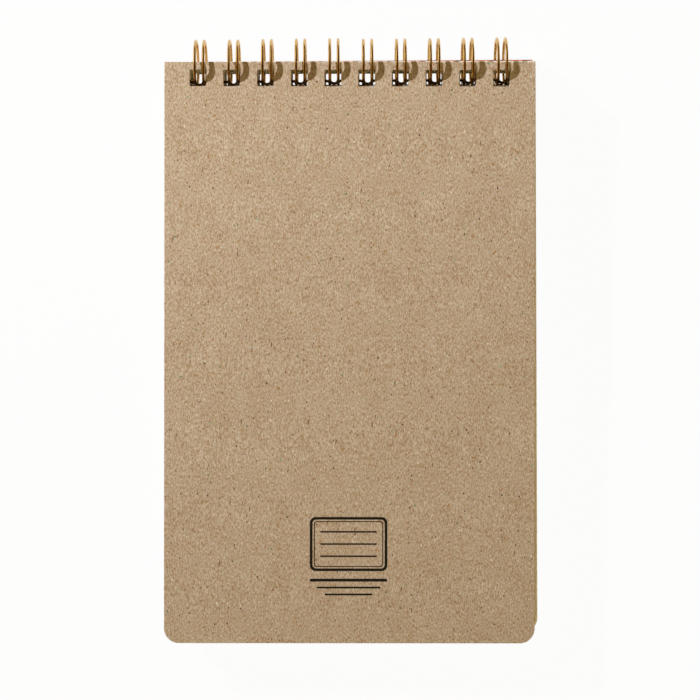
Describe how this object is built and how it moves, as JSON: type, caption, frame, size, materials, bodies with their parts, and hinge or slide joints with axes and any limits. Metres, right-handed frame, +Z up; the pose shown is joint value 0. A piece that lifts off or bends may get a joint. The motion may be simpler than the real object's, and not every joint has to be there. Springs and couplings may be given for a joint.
{
  "type": "reporter notebook",
  "caption": "Top-bound reporter notebook: a pad of pages between a card front cover and a kraft board back cover, hung on a comb of twin wire loops.",
  "frame": {"origin": "middle of the notebook's outline seen from above, at the height of the table that it lies on", "axes": "+Y towards the binding, +Z up, out of the back cover; +X to the right, along the spine of the wire"},
  "size_m": [0.1416, 0.2295, 0.0192],
  "materials": {
    "coral_card": "matte",
    "cream_paper": "matte",
    "kraft_board": "matte",
    "brass_wire": "polished"
  },
  "bodies": {
    "pad": {"page_block": "cream_paper", "binding_wire": "brass_wire"},
    "front": {"front_cover": "coral_card"},
    "back": {"back_cover": "kraft_board"}
  },
  "joints": [
    {"name": "front_cover_hinge", "type": "hinge", "parent": "pad", "child": "front", "pos_m": [0.00093, 0.10511, 0.0096], "axis": [1, 0, 0], "range_deg": [0, 180]},
    {"name": "back_cover_hinge", "type": "hinge", "parent": "pad", "child": "back", "pos_m": [0.00093, 0.10535, 0.00972], "axis": [1, 0, 0], "range_deg": [-177, 0]}
  ]
}
